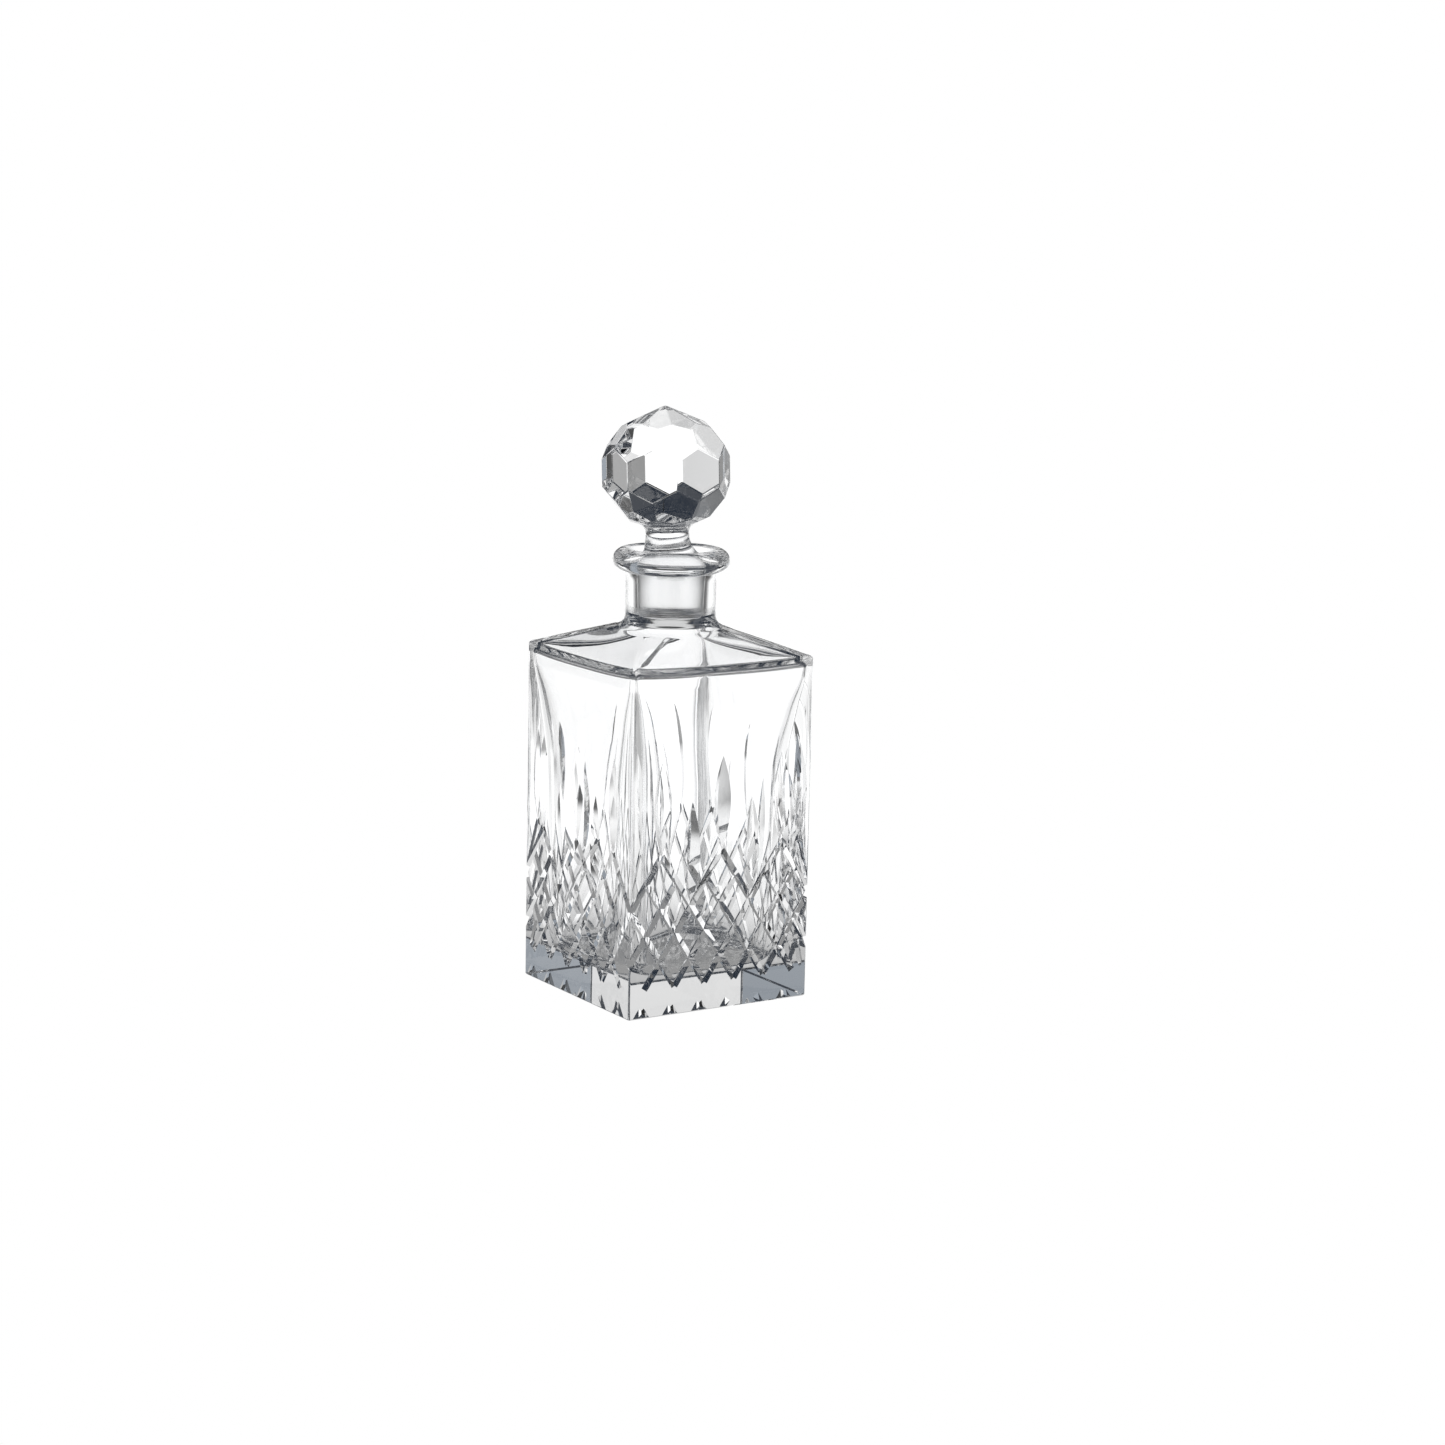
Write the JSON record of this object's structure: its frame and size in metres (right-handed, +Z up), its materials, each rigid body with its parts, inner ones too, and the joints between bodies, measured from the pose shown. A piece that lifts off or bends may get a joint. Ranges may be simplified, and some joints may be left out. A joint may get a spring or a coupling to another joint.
{
  "type": "decanter",
  "caption": "Square cut crystal decanter with a criss-cross and leaf cut band, a round neck with a rolled lip, and a lift-out faceted ball stopper.",
  "frame": {"origin": "centre of the flat base, on the surface that the bottle stands on", "axes": "+Z up along the neck and stopper, -Y out of one cut face, +X out of the next one"},
  "size_m": [0.09, 0.09, 0.2555],
  "materials": {
    "bottle_crystal": "polished clear lead crystal",
    "stopper_crystal": "polished clear lead crystal with a fine-ground plug"
  },
  "bodies": {
    "bottle": {"bottle": "bottle_crystal"},
    "stopper": {"stopper": "stopper_crystal"}
  },
  "joints": [
    {"name": "stopper_lift", "type": "slide", "parent": "bottle", "child": "stopper", "axis": [0, 0, 1], "range_m": [0, 0.045]}
  ]
}
